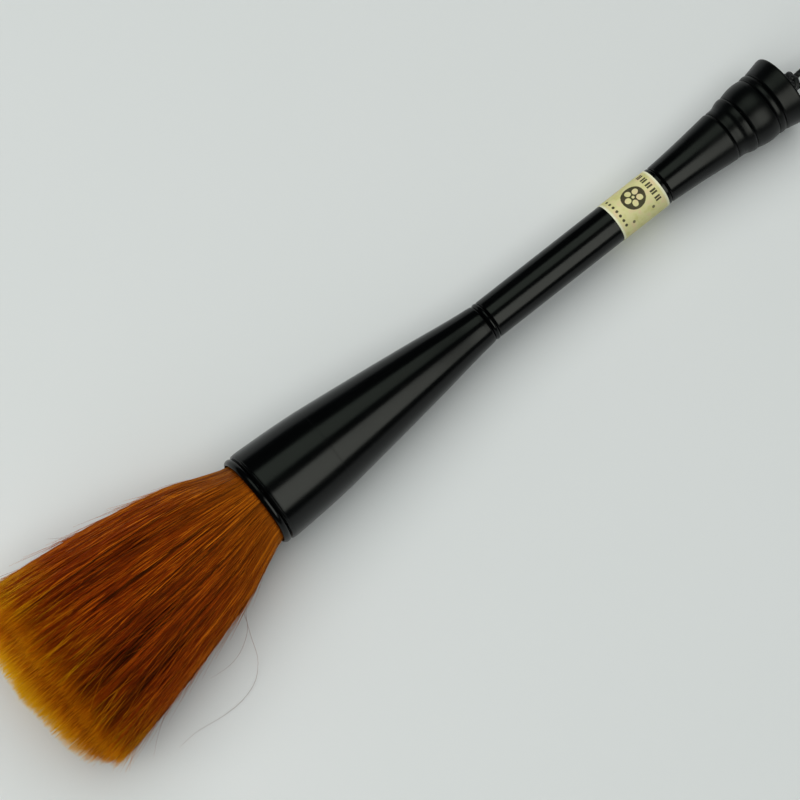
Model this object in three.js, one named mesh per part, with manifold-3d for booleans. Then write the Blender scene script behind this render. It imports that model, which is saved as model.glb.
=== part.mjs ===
// A large Chinese writing brush (ti bi), lying on a table.
// Millimetres, +Z up. The handle runs along +X and the hair points along -X.
// The handle is built in its own group: x = 0 is the plane of the mouth, the
// axis of turning is the group's X axis, and the group tips down towards the
// tail, because the tail rim is narrower than the mouth and both rest on z = 0.

import * as THREE from 'three';
import { mergeVertices } from 'three/addons/utils/BufferGeometryUtils.js';
import Module from 'manifold-3d';

const wasm = await Module();
wasm.setup();

// ---------------------------------------------------------------- driving sizes

const SIDES = 32; // facets round every turned piece
const GAP = 0.3; // play left between pieces that touch
const GROOVE = 0.4; // how deep the edges beside a seam are eased

const RIM_X = 249.3; // mouth plane to the plane of the tail rim
const MOUTH_BORE = 16.9; // radius of the socket that holds the hair
const CUP = { start: 3.2, end: 106.2, socketEnd: 32, boreStart: 80 };
const SHAFT = { start: 108.5, end: 189.8, radius: 7.7, tenonFront: 82, tenonBack: 205 };
const FRONT_TENON = 5.0; // radius of the tenon inside the cup
const BACK_TENON = 4.6; // radius of the tenon and the dowel inside the tail
const LABEL = { start: 166.5, end: 188, inner: 7.5, outer: 7.75, seat: 7.2 };
const CORD_BORE = 3.4; // radius of the hole that the cord's ends lie in
const CORD_RADIUS = 1.15;
const CORD_SIDES = 8;
const LOOP_STEPS = 32; // about one step every two diameters
const LEG_OFFSET = 2.1; // each cord end lies this far from the axis
const KNOT = { x: RIM_X + 2.7, radius: 4.5 };

const WIDEST_CUP = { x: 5, radius: 18.45 }; // the cup touches the table here
const WIDEST_RIM = { x: 248.6, radius: 13.95 }; // and the tail rim here

const TUFT_LENGTH = 107.5; // hair outside the mouth
const ROOT_END = 24; // hair inside the socket
const TUFT_POINTS = 36; // points round each section of the tuft

// The handle's tilt and height follow from the two places where it touches the table.
const TILT = Math.asin(
  (WIDEST_CUP.radius - WIDEST_RIM.radius) / (WIDEST_RIM.x - WIDEST_CUP.x));
const AXIS_HEIGHT = WIDEST_CUP.radius * Math.cos(TILT) + WIDEST_CUP.x * Math.sin(TILT);

// How far below the axis the table lies, at x along the handle's axis.
function tableBelow(x) {
  return (AXIS_HEIGHT - x * Math.sin(TILT)) / Math.cos(TILT);
}

// Outline of the tuft: distance from the mouth, reach to +Y, reach to -Y, height
// above the axis, depth below it. It leans to -Y, and the table cuts its depth
// short, which flattens its underside.
const TUFT_OUTLINE = [
  [0, 16.4, 16.4, 16.3, 16.3],
  [9, 19.4, 20.0, 18.3, 18.4],
  [20, 23.4, 24.6, 20.2, 21],
  [44, 28.5, 31.6, 23.4, 23],
  [70, 31.8, 38.0, 25.6, 24],
  [88, 33.4, 41.5, 26.4, 24],
  [98, 33, 40, 23.6, 24],
  [104, 30, 34.5, 17, 24],
  [TUFT_LENGTH, 24, 26.5, 9, 23],
];
const TUFT_REACH_UP = 33.4; // widest reach to +Y
const TUFT_REACH_DOWN = 41.5; // widest reach to -Y

// The object's footprint is centred on the origin.
const TAIL_REACH = KNOT.x * Math.cos(TILT) + KNOT.radius;
const TUFT_REACH = TUFT_LENGTH * Math.cos(TILT) + tableBelow(-TUFT_LENGTH) * Math.sin(TILT);
const MOUTH_X = (TUFT_REACH - TAIL_REACH) / 2;
const HANDLE_Y = (TUFT_REACH_DOWN - TUFT_REACH_UP) / 2;

// The hanging loop's route on the table behind the tail, end to end.
const LOOP_ROUTE = [
  [182.3, 4.7, 13.8],
  [187.5, 5.1, 13.0],
  [193.0, 5.7, 10.4],
  [198.5, 6.4, 6.4],
  [204.5, 7.3, 3.0],
  [211.5, 8.3, 1.45],
  [220.5, 9.2, 1.25],
  [229.5, 9.7, 1.25],
  [238.5, 9.1, 1.25],
  [244.9, 6.4, 1.25],
  [247.5, 0.1, 1.25],
  [244.9, -6.2, 1.25],
  [238.5, -8.9, 1.25],
  [229.5, -9.3, 1.25],
  [220.5, -8.1, 1.25],
  [212.5, -6.4, 1.4],
  [204.5, -4.4, 3.0],
  [198.5, -3.0, 6.2],
  [192.5, -1.5, 10.2],
  [186.9, -0.3, 12.8],
  [181.9, 0.6, 13.6],
];

// -------------------------------------------------------------------- materials

function finish(colour, roughness, metalness = 0) {
  return new THREE.MeshStandardMaterial({ color: colour, roughness, metalness });
}

const horn = finish('#0d0f0f', 0.3);
const paper = finish('#d9cf9e', 0.85);
const outerHair = finish('#9a4a12', 0.6);
const innerHair = finish('#5c2a10', 0.65);
const cordBlack = finish('#141414', 0.55);
const thread = finish('#e6dcc0', 0.8);
const resin = finish('#8a5a22', 0.25);
const glue = finish('#cfc39a', 0.5);
const bamboo = finish('#c9a56a', 0.7);

// --------------------------------------------------------------------- building

const handle = new THREE.Group();
handle.rotation.y = TILT;
handle.position.set(MOUTH_X, HANDLE_Y, AXIS_HEIGHT);

function addMesh(parent, name, geometry, material) {
  const mesh = new THREE.Mesh(geometry, material);
  mesh.name = name;
  parent.add(mesh);
  return mesh;
}

// Turns a list of [x, radius] points round the X axis. A list that doesn't begin
// and end on the axis is closed on itself, which makes a ring. Points run from
// mouth to tail on the outside, so that the faces look outwards.
function turned(points, sides = SIDES) {
  const onAxis = points[0][1] === 0 && points[points.length - 1][1] === 0;
  const loop = onAxis ? points : [...points, points[0]];
  const profile = loop.map(([x, r]) => new THREE.Vector2(r, x));
  return new THREE.LatheGeometry(profile, sides).rotateZ(-Math.PI / 2);
}

// Points on a smooth curve through a few [x, radius] points.
function swept(points, steps) {
  const curve = new THREE.SplineCurve(points.map(([x, r]) => new THREE.Vector2(x, r)));
  return curve.getPoints(steps).map((p) => [p.x, p.y]);
}

function toSolid(geometry) {
  const bare = geometry.index ? geometry.clone() : geometry;
  bare.deleteAttribute('normal');
  bare.deleteAttribute('uv');
  const merged = mergeVertices(bare, 1e-4);
  return new wasm.Manifold(new wasm.Mesh({
    numProp: 3,
    vertProperties: new Float32Array(merged.attributes.position.array),
    triVerts: new Uint32Array(merged.index.array),
  }));
}

function toGeometry(solid) {
  const mesh = solid.getMesh();
  const geometry = new THREE.BufferGeometry();
  geometry.setAttribute('position', new THREE.BufferAttribute(mesh.vertProperties, 3));
  geometry.setIndex(new THREE.BufferAttribute(mesh.triVerts, 1));
  geometry.computeVertexNormals();
  return geometry;
}

// A closed ring with an eased edge at each end: outside points from mouth side to
// tail side, bored right through.
function ringPiece(outside, bore) {
  const first = outside[0];
  const last = outside[outside.length - 1];
  return turned([...outside, [last[0], bore], [first[0], bore]]);
}

// ------------------------------------------------------------- cup, neck, shaft

function mouthRing() {
  const outside = [
    [0, 17.3],
    [0.5, 17.85],
    [1.2, 18.2],
    [2.1, 18.2],
    [2.9, 17.85],
  ];
  return ringPiece(outside, MOUTH_BORE);
}

function ferruleCup() {
  const flank = swept([
    [4.2, 18.43],
    [WIDEST_CUP.x, WIDEST_CUP.radius],
    [11, 18.2],
    [28, 17.2],
    [54, 14.3],
    [80.5, 11.0],
    [98, 8.6],
    [104, 7.95],
  ], 14);
  return turned([
    [CUP.start, 17.95],
    [3.5, 18.3],
    ...flank,
    [105.6, SHAFT.radius + 0.05],
    [CUP.end, SHAFT.radius - GROOVE],
    [CUP.end, FRONT_TENON + GAP],
    [CUP.boreStart, FRONT_TENON + GAP],
    [CUP.boreStart, 0],
    [CUP.socketEnd, 0],
    [CUP.socketEnd, MOUTH_BORE],
    [CUP.start, MOUTH_BORE],
  ]);
}

function neckRing() {
  const edge = SHAFT.radius - GROOVE;
  const start = CUP.end + GAP;
  const end = SHAFT.start - GAP;
  const middle = (start + end) / 2;
  const outside = [
    [start, edge],
    [start + 0.35, SHAFT.radius],
    [middle, SHAFT.radius + 0.08],
    [end - 0.35, SHAFT.radius],
    [end, edge],
  ];
  return ringPiece(outside, FRONT_TENON + GAP);
}

function shaft() {
  const edge = SHAFT.radius - GROOVE;
  return turned([
    [SHAFT.tenonFront, 0],
    [SHAFT.tenonFront, FRONT_TENON - 0.5],
    [SHAFT.tenonFront + 0.5, FRONT_TENON],
    [SHAFT.start, FRONT_TENON],
    [SHAFT.start, edge],
    [SHAFT.start + GROOVE, SHAFT.radius],
    [LABEL.start - GAP, SHAFT.radius],
    [LABEL.start - GAP, LABEL.seat],
    [LABEL.end + GAP, LABEL.seat],
    [LABEL.end + GAP, SHAFT.radius],
    [SHAFT.end - GROOVE, SHAFT.radius],
    [SHAFT.end, edge],
    [SHAFT.end, BACK_TENON],
    [SHAFT.tenonBack - 0.5, BACK_TENON],
    [SHAFT.tenonBack, BACK_TENON - 0.5],
    [SHAFT.tenonBack, 0],
  ]);
}

function labelBand() {
  return ringPiece([[LABEL.start, LABEL.outer], [LABEL.end, LABEL.outer]], LABEL.inner);
}

// ------------------------------------------------------------------------- tail

const TAIL_BORE = BACK_TENON + GAP;

function tailSleeve() {
  const start = SHAFT.end + GAP;
  const outside = [
    [start, SHAFT.radius - GROOVE],
    ...swept([[start + 0.4, 7.72], [202.4, 8.57], [211, 9.38], [219, 10.2]], 6),
    [219.9, 9.95],
  ];
  return ringPiece(outside, TAIL_BORE);
}

function tailCollar() {
  const outside = [
    [220.2, 9.95],
    [220.6, 10.15],
    [222.3, 10.2],
    [223.6, 10.45],
    [225, 11.05],
    [226.3, 11.42],
    [227.3, 11.5],
    [228, 11.2],
  ];
  return ringPiece(outside, TAIL_BORE);
}

function tailBulb() {
  const outside = [
    [228.3, 11.2],
    [228.8, 11.55],
    [231.2, 12.1],
    [232.9, 12.38],
    [235, 12.47],
    [237.3, 12.4],
    [237.9, 12.1],
  ];
  return ringPiece(outside, TAIL_BORE);
}

function tailRing() {
  const outside = [
    [238.2, 12.1],
    [238.7, 12.42],
    [240.5, 12.5],
    [241, 12.15],
  ];
  return ringPiece(outside, TAIL_BORE);
}

function endCup() {
  const dowelSeat = 244.9;
  return turned([
    [241.3, 12.15],
    [241.8, 12.6],
    [243.3, 12.88],
    [245.6, 13.4],
    [247.6, 13.85],
    [WIDEST_RIM.x, WIDEST_RIM.radius],
    [249.1, 13.75],
    [RIM_X, 13.3],
    [RIM_X, 11.3],
    [248.8, 10.6],
    [247.4, 8.4],
    [246.7, 6],
    [246.5, CORD_BORE],
    [dowelSeat, CORD_BORE],
    [dowelSeat, TAIL_BORE],
    [241.3, TAIL_BORE],
  ]);
}

function tailDowel() {
  const start = SHAFT.tenonBack + GAP;
  const end = 244.6;
  const boreStart = 226;
  return turned([
    [start, 0],
    [start, BACK_TENON],
    [end, BACK_TENON],
    [end, CORD_BORE],
    [boreStart, CORD_BORE],
    [boreStart, 0],
  ]);
}

// ------------------------------------------------------------- cord at the tail

const LEG_START = 227;
const LEG_END = 247.4;

function cordLeg() {
  const radius = CORD_RADIUS - 0.05; // squeezed a little inside the bore
  const leg = new THREE.CylinderGeometry(radius, radius, LEG_END - LEG_START, CORD_SIDES);
  return leg.rotateZ(-Math.PI / 2);
}

function cordPeg() {
  return turned([[229, 0], [229, 0.35], [245, 0.7], [245, 0]], 8);
}

// A button knot, as wide as it is long, with a waist between its two rows of parts.
function cordKnot() {
  const rows = 12;
  const points = [];
  for (let i = 0; i <= rows; i += 1) {
    const angle = Math.PI * (1 - i / rows);
    const swell = 1 - 0.05 * Math.cos(4 * angle) * Math.sin(angle);
    const radius = i === 0 || i === rows ? 0 : KNOT.radius * Math.sin(angle) * swell;
    points.push([KNOT.x + KNOT.radius * Math.cos(angle), radius]);
  }
  return turned(points, 20);
}

function hangingCord() {
  const route = new THREE.CatmullRomCurve3(
    LOOP_ROUTE.map(([x, y, z]) => new THREE.Vector3(x, y, z)));
  const section = new THREE.Shape();
  for (let i = 0; i < CORD_SIDES; i += 1) {
    const angle = (2 * Math.PI * i) / CORD_SIDES;
    const x = CORD_RADIUS * Math.cos(angle);
    const y = CORD_RADIUS * Math.sin(angle);
    if (i === 0) section.moveTo(x, y);
    else section.lineTo(x, y);
  }
  section.closePath();
  return new THREE.ExtrudeGeometry(section, {
    steps: LOOP_STEPS,
    bevelEnabled: false,
    extrudePath: route,
  });
}

// ------------------------------------------------------------------------- hair

// One section of the tuft: an oval with its own reach to each side, cut flat
// where it meets the table.
function tuftSection(x, up, down, top, depth) {
  const ring = [];
  const floor = -tableBelow(x);
  for (let i = 0; i < TUFT_POINTS; i += 1) {
    const angle = (2 * Math.PI * i) / TUFT_POINTS;
    const side = Math.cos(angle) > 0 ? up : down;
    const high = Math.sin(angle) > 0 ? top : depth;
    const y = side * Math.cos(angle);
    const z = Math.max(high * Math.sin(angle), floor);
    ring.push([x, y, z]);
  }
  return ring;
}

function rootSection(x, radius) {
  const ring = [];
  for (let i = 0; i < TUFT_POINTS; i += 1) {
    const angle = (2 * Math.PI * i) / TUFT_POINTS;
    ring.push([x, radius * Math.cos(angle), radius * Math.sin(angle)]);
  }
  return ring;
}

// Joins rings of points into one closed skin, with a fan at each end.
function lofted(rings) {
  const count = rings[0].length;
  const vertices = [];
  const triangles = [];
  rings.forEach((ring) => ring.forEach((point) => vertices.push(...point)));
  for (let r = 0; r < rings.length - 1; r += 1) {
    for (let i = 0; i < count; i += 1) {
      const j = (i + 1) % count;
      const a = r * count + i;
      const b = r * count + j;
      const c = a + count;
      const d = b + count;
      triangles.push(a, c, b, b, c, d);
    }
  }
  [[0, 1], [rings.length - 1, -1]].forEach(([r, turn]) => {
    const ring = rings[r];
    const centre = vertices.length / 3;
    for (let axis = 0; axis < 3; axis += 1) {
      vertices.push(ring.reduce((sum, point) => sum + point[axis], 0) / count);
    }
    for (let i = 0; i < count; i += 1) {
      const a = r * count + i;
      const b = r * count + ((i + 1) % count);
      if (turn > 0) triangles.push(centre, a, b);
      else triangles.push(centre, b, a);
    }
  });
  const geometry = new THREE.BufferGeometry();
  geometry.setAttribute('position', new THREE.Float32BufferAttribute(vertices, 3));
  geometry.setIndex(triangles);
  return geometry;
}

const BINDING = { start: 17, end: 22, waist: 15.3 };

// Round column of stiff hair in the middle, grown by a margin for its pocket.
function corePoints(margin, rootEnd) {
  return [
    [-74 - margin, 0],
    [-72, 4 + margin],
    [-62, 10 + margin],
    [-45, 12.2 + margin],
    [-20, 10.6 + margin],
    [0, 8.6 + margin],
    [rootEnd, 7.6 + margin],
    [rootEnd, 0],
  ];
}

function hairCore() {
  return turned(corePoints(0, ROOT_END - GAP), 20);
}

function hairMantle() {
  const rings = [
    rootSection(ROOT_END, 16.2),
    rootSection(BINDING.end, 16.2),
    rootSection(BINDING.end - 0.4, BINDING.waist),
    rootSection(BINDING.start + 0.4, BINDING.waist),
    rootSection(BINDING.start, 16.4),
  ];
  TUFT_OUTLINE.forEach(([x, ...reach]) => rings.push(tuftSection(-x, ...reach)));
  const whole = toSolid(lofted(rings));
  const pocket = toSolid(turned(corePoints(GAP, ROOT_END + 2), 20));
  return toGeometry(whole.subtract(pocket));
}

// Thread wound round the roots in a short helix.
class Winding extends THREE.Curve {
  constructor(radius, start, pitch, turns) {
    super();
    Object.assign(this, { radius, start, pitch, turns });
  }

  getPoint(t, target = new THREE.Vector3()) {
    const angle = 2 * Math.PI * this.turns * t;
    return target.set(
      this.start + this.pitch * this.turns * t,
      this.radius * Math.cos(angle),
      this.radius * Math.sin(angle));
  }
}

function rootBinding() {
  const threadRadius = 0.42;
  const section = new THREE.Shape();
  section.absarc(0, 0, threadRadius, 0, 2 * Math.PI, false);
  const turns = 3;
  const pitch = 1.15;
  const start = (BINDING.start + BINDING.end - turns * pitch) / 2;
  const path = new Winding(BINDING.waist + GAP + threadRadius, start, pitch, turns);
  return new THREE.ExtrudeGeometry(section, {
    steps: turns * 18,
    curveSegments: 3,
    bevelEnabled: false,
    extrudePath: path,
  });
}

function rootSeal() {
  return turned([[24.3, 0], [24.3, 15.9], [24.8, 16.3], [26.3, 16.3], [26.3, 0]]);
}

function socketGlue() {
  return turned([[26.6, 0], [26.6, 16.5], [31.7, 16.5], [31.7, 0]]);
}

// --------------------------------------------------------------------- assembly

addMesh(handle, 'mouth_ring', mouthRing(), horn);
addMesh(handle, 'ferrule_cup', ferruleCup(), horn);
addMesh(handle, 'neck_ring', neckRing(), horn);
addMesh(handle, 'shaft', shaft(), horn);
addMesh(handle, 'label_band', labelBand(), paper);
addMesh(handle, 'tail_sleeve', tailSleeve(), horn);
addMesh(handle, 'tail_collar', tailCollar(), horn);
addMesh(handle, 'tail_bulb', tailBulb(), horn);
addMesh(handle, 'tail_ring', tailRing(), horn);
addMesh(handle, 'end_cup', endCup(), horn);
addMesh(handle, 'tail_dowel', tailDowel(), bamboo);

for (const [name, side] of [['cord_end_left', 1], ['cord_end_right', -1]]) {
  const leg = addMesh(handle, name, cordLeg(), cordBlack);
  leg.position.set((LEG_START + LEG_END) / 2, side * LEG_OFFSET, 0);
}
addMesh(handle, 'cord_peg', cordPeg(), bamboo);
addMesh(handle, 'cord_knot', cordKnot(), cordBlack);

addMesh(handle, 'hair_mantle', hairMantle(), outerHair);
addMesh(handle, 'hair_core', hairCore(), innerHair);
addMesh(handle, 'root_binding', rootBinding(), thread);
addMesh(handle, 'root_seal', rootSeal(), resin);
addMesh(handle, 'socket_glue', socketGlue(), glue);

const brush = new THREE.Group();
brush.add(handle);
addMesh(brush, 'hanging_cord', hangingCord(), cordBlack);

export default brush;
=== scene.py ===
"""A large Chinese writing brush (ti bi) that lies on a pale table: a turned black handle with a paper
label, a full head of orange-brown hair, and a black cord whose button knot sits in the cup at the tail.
Metres, +Z up. Handle coordinates run from the plane of the mouth: x along the axis towards the tail,
y to the world's +Y, z upwards; the hair lies at negative x."""

import math

import bpy
import bmesh
import numpy as np
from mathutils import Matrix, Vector


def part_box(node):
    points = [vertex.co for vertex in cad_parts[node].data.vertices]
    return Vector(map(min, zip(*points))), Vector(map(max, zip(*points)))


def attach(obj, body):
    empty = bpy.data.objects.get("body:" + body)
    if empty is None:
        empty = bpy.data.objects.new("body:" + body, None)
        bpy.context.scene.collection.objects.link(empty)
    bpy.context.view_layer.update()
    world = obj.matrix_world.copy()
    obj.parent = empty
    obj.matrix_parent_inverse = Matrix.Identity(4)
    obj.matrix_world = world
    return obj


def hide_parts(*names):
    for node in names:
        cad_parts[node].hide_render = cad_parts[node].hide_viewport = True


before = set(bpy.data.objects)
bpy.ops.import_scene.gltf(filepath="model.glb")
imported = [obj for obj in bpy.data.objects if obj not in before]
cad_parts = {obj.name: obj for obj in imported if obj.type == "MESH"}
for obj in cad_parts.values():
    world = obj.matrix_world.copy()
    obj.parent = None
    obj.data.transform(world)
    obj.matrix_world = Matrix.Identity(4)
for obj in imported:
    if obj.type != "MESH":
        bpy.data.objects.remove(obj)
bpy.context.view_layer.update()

BODY = "root"

# ---------------------------------------------- where things are


def middle(node):
    low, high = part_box(node)
    return (low + high) / 2


LABEL_MIDDLE = 0.17725  # along the handle from the plane of the mouth
AXIS = (middle("cord_knot") - middle("label_band")).normalized()
SIDE = Vector((0, 1, 0))
UP = AXIS.cross(SIDE)
MOUTH = middle("label_band") - AXIS * LABEL_MIDDLE
TILT = -math.asin(AXIS.z)
TURN = np.array([AXIS, SIDE, UP])


def to_world(points):
    """Handle coordinates to the world's."""
    return np.asarray(points, float) @ TURN + np.array(MOUTH)


def table_below(x):
    """How far the table lies under the handle's axis."""
    return (MOUTH.z + x * AXIS.z) / UP.z


# ------------------------------------------------------- camera

CAMERA_AZIMUTH = math.radians(-39.25)
CAMERA_ELEVATION = math.radians(75.6)
CAMERA_DISTANCE = 1.314
CAMERA_LENS = 164.25
AIM_ALONG = 0.0647  # the picture's middle lies this far from the mouth along the handle
AIM_ASIDE = 0.0031  # and this far to the side of it


def make_camera():
    data = bpy.data.cameras.new("camera")
    data.lens = CAMERA_LENS
    camera = bpy.data.objects.new("camera", data)
    bpy.context.scene.collection.objects.link(camera)
    level = math.cos(CAMERA_ELEVATION)
    back = Vector((
        math.sin(CAMERA_AZIMUTH) * level,
        -math.cos(CAMERA_AZIMUTH) * level,
        math.sin(CAMERA_ELEVATION)))
    aside = back.cross(AXIS).normalized()
    target = MOUTH + AXIS * AIM_ALONG - aside * AIM_ASIDE
    camera.location = target + back * CAMERA_DISTANCE
    camera.rotation_euler = (-back).to_track_quat("-Z", "Y").to_euler()
    bpy.context.scene.camera = camera


make_camera()

# ---------------------------------------------- lines and meshes


def curve_through(points, steps):
    """Points on the centripetal Catmull-Rom curve through the given ones, with this many on each span."""
    given = np.array(points, float)
    given = np.vstack([2 * given[0] - given[1], given, 2 * given[-1] - given[-2]])
    spans = []
    for a, b, c, d in zip(given, given[1:], given[2:], given[3:]):
        t1 = np.linalg.norm(b - a) ** 0.5
        t2 = t1 + np.linalg.norm(c - b) ** 0.5
        t3 = t2 + np.linalg.norm(d - c) ** 0.5
        t = np.linspace(t1, t2, steps, endpoint=False)[:, None]
        ab = a + (b - a) * t / t1
        bc = b + (c - b) * (t - t1) / (t2 - t1)
        cd = c + (d - c) * (t - t2) / (t3 - t2)
        abc = ab + (bc - ab) * t / t2
        bcd = bc + (cd - bc) * (t - t1) / (t3 - t1)
        spans.append(abc + (bcd - abc) * (t - t1) / (t2 - t1))
    return np.vstack([*spans, given[-2:-1]])


def evenly(points, count):
    """The same line with its points an equal way apart."""
    along = np.concatenate([[0], np.cumsum(np.linalg.norm(np.diff(points, axis=0), axis=1))])
    wanted = np.linspace(0, along[-1], count)
    return np.stack([np.interp(wanted, along, column) for column in points.T], axis=1)


def new_piece(name, vertices, faces, material):
    """A smooth mesh object. faces is a list of arrays of corner numbers, one for each number of corners."""
    mesh = bpy.data.meshes.new(name)
    mesh.vertices.add(len(vertices))
    mesh.vertices.foreach_set("co", np.asarray(vertices, np.float32).ravel())
    corners = np.concatenate([f.ravel() for f in faces]).astype(np.int32)
    sizes = np.concatenate([np.full(len(f), f.shape[1]) for f in faces])
    mesh.loops.add(len(corners))
    mesh.loops.foreach_set("vertex_index", corners)
    mesh.polygons.add(len(sizes))
    mesh.polygons.foreach_set("loop_start", (np.cumsum(sizes) - sizes).astype(np.int32))
    mesh.update(calc_edges=True)
    mesh.materials.append(material)
    mesh.shade_smooth()
    piece = bpy.data.objects.new(name, mesh)
    bpy.context.scene.collection.objects.link(piece)
    return piece


def face_outwards(piece):
    work = bmesh.new()
    work.from_mesh(piece.data)
    bmesh.ops.recalc_face_normals(work, faces=work.faces)
    work.to_mesh(piece.data)
    work.free()


def belongs(piece, slot, *nodes):
    """The piece rides on the brush and stands for these nodes. slot is not used."""
    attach(piece, BODY)
    if nodes:
        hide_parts(*nodes)
    return piece


def grid_faces(rows, columns, wrap_rows=False):
    """Quads between rows of points that each close on themselves."""
    row = np.arange(rows if wrap_rows else rows - 1)[:, None]
    column = np.arange(columns)[None, :]
    below = (row + 1) % rows
    right = (column + 1) % columns
    return np.stack([
        row * columns + column,
        row * columns + right,
        below * columns + right,
        below * columns + column], axis=-1).reshape(-1, 4)


def tube(name, path, radius_at, sides, material, closed=False):
    """A tube along a path. radius_at(turns, along) gives the section's radius for the angle, in turns, and
    the way along, in metres."""
    path = np.asarray(path, float)
    count = len(path)
    if closed:
        ahead = np.roll(path, -1, axis=0) - np.roll(path, 1, axis=0)
    else:
        ahead = np.gradient(path, axis=0)
    ahead /= np.linalg.norm(ahead, axis=1)[:, None]
    steps = np.linalg.norm(np.diff(path, axis=0), axis=1)
    along = np.concatenate([[0], np.cumsum(steps)])
    across = np.empty_like(ahead)
    previous = np.cross(ahead[0], (0.3, 0.2, 0.93))
    for i, direction in enumerate(ahead):
        previous = previous - direction * previous.dot(direction)
        previous /= np.linalg.norm(previous)
        across[i] = previous
    third = np.cross(ahead, across)
    if closed:  # spreads the frame's leftover turn over the loop, so that its ends meet
        end = across[-1] - ahead[0] * across[-1].dot(ahead[0])
        slip = math.atan2(end.dot(third[0]), end.dot(across[0]))
        back = -slip * np.arange(count) / count
        across, third = (
            across * np.cos(back)[:, None] + third * np.sin(back)[:, None],
            third * np.cos(back)[:, None] - across * np.sin(back)[:, None])
    turns = np.arange(sides) / sides
    angle = 2 * math.pi * turns
    radius = radius_at(turns[None, :], along[:, None])
    ring = across[:, None] * np.cos(angle)[None, :, None] + third[:, None] * np.sin(angle)[None, :, None]
    vertices = (path[:, None] + ring * radius[..., None]).reshape(-1, 3)
    faces = [grid_faces(count, sides, wrap_rows=closed)]
    if not closed:
        vertices = np.vstack([vertices, path[0], path[-1]])
        first = np.arange(sides)
        second = (first + 1) % sides
        last = (count - 1) * sides
        faces.append(np.stack([second, first, np.full(sides, count * sides)], axis=-1))
        faces.append(np.stack([last + first, last + second, np.full(sides, count * sides + 1)], axis=-1))
    piece = new_piece(name, vertices, faces, material)
    face_outwards(piece)
    return piece


# ---------------------------------------------------- materials


def colour(red, green, blue):
    """An sRGB colour in 0-255 as linear light."""
    light = [((c / 255 + 0.055) / 1.055) ** 2.4 if c > 10 else c / 255 / 12.92 for c in (red, green, blue)]
    return (*light, 1)


class Shader:
    """Builds one material's nodes."""

    def __init__(self, name, **plain):
        self.material = bpy.data.materials.new(name)
        self.material.use_nodes = True
        self.tree = self.material.node_tree
        self.principled = self.tree.nodes["Principled BSDF"]
        for socket, value in plain.items():
            self.set(socket.replace("_", " "), value)

    def feed(self, socket, value):
        if isinstance(value, bpy.types.NodeSocket):
            self.tree.links.new(value, socket)
        else:
            socket.default_value = value

    def set(self, socket, value):
        self.feed(self.principled.inputs[socket], value)

    def node(self, kind, inputs=None, **settings):
        made = self.tree.nodes.new("ShaderNode" + kind)
        for key, value in settings.items():
            setattr(made, key, value)
        for key, value in (inputs or {}).items():
            self.feed(made.inputs[key], value)
        return made

    def math(self, operation, *values):
        return self.node("Math", dict(enumerate(values)), operation=operation).outputs[0]

    def clamped(self, value, low, high):
        """0 at low, 1 at high, and smooth in between."""
        made = self.node("MapRange", {"Value": value, "From Min": low, "From Max": high},
                         interpolation_type="SMOOTHSTEP")
        return made.outputs["Result"]

    def place(self):
        """Handle coordinates of the point."""
        own = self.node("TexCoord").outputs["Object"]
        return self.node("Mapping", {"Vector": own, "Location": MOUTH, "Rotation": (0, TILT, 0)},
                         vector_type="TEXTURE").outputs[0]

    def stretched(self, vector, factors):
        return self.node("VectorMath", {0: vector, 1: factors}, operation="MULTIPLY").outputs[0]

    def split(self, vector):
        return self.node("SeparateXYZ", {0: vector}).outputs

    def joined(self, *values):
        return self.node("CombineXYZ", dict(enumerate(values))).outputs[0]

    def noise(self, vector, scale, detail, distortion=0.0):
        return self.node("TexNoise", {
            "Vector": vector,
            "Scale": scale,
            "Detail": detail,
            "Distortion": distortion}).outputs[0]

    def ramp(self, factor, *stops):
        made = self.node("ValToRGB", {"Fac": factor})
        elements = made.color_ramp.elements
        while len(elements) < len(stops):
            elements.new(0.5)
        for element, (position, value) in zip(elements, stops):
            element.position = position
            element.color = value
        return made.outputs["Color"]

    def mix(self, factor, first, second):
        made = self.node("Mix", data_type="RGBA")
        self.feed(made.inputs[0], factor)
        self.feed(made.inputs[6], first)
        self.feed(made.inputs[7], second)
        return made.outputs[2]

    def between(self, factor, low, high):
        return self.node("MapRange", {"Value": factor, "To Min": low, "To Max": high}).outputs["Result"]

    def bump(self, height, distance, below=None):
        inputs = {"Height": height, "Distance": distance, "Strength": 1.0}
        if below is not None:
            inputs["Normal"] = below
        return self.node("Bump", inputs).outputs["Normal"]


HANDLED_FROM = 0.186  # the horn is dulled by handling from here along the handle
HANDLED_FULLY = 0.222


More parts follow.
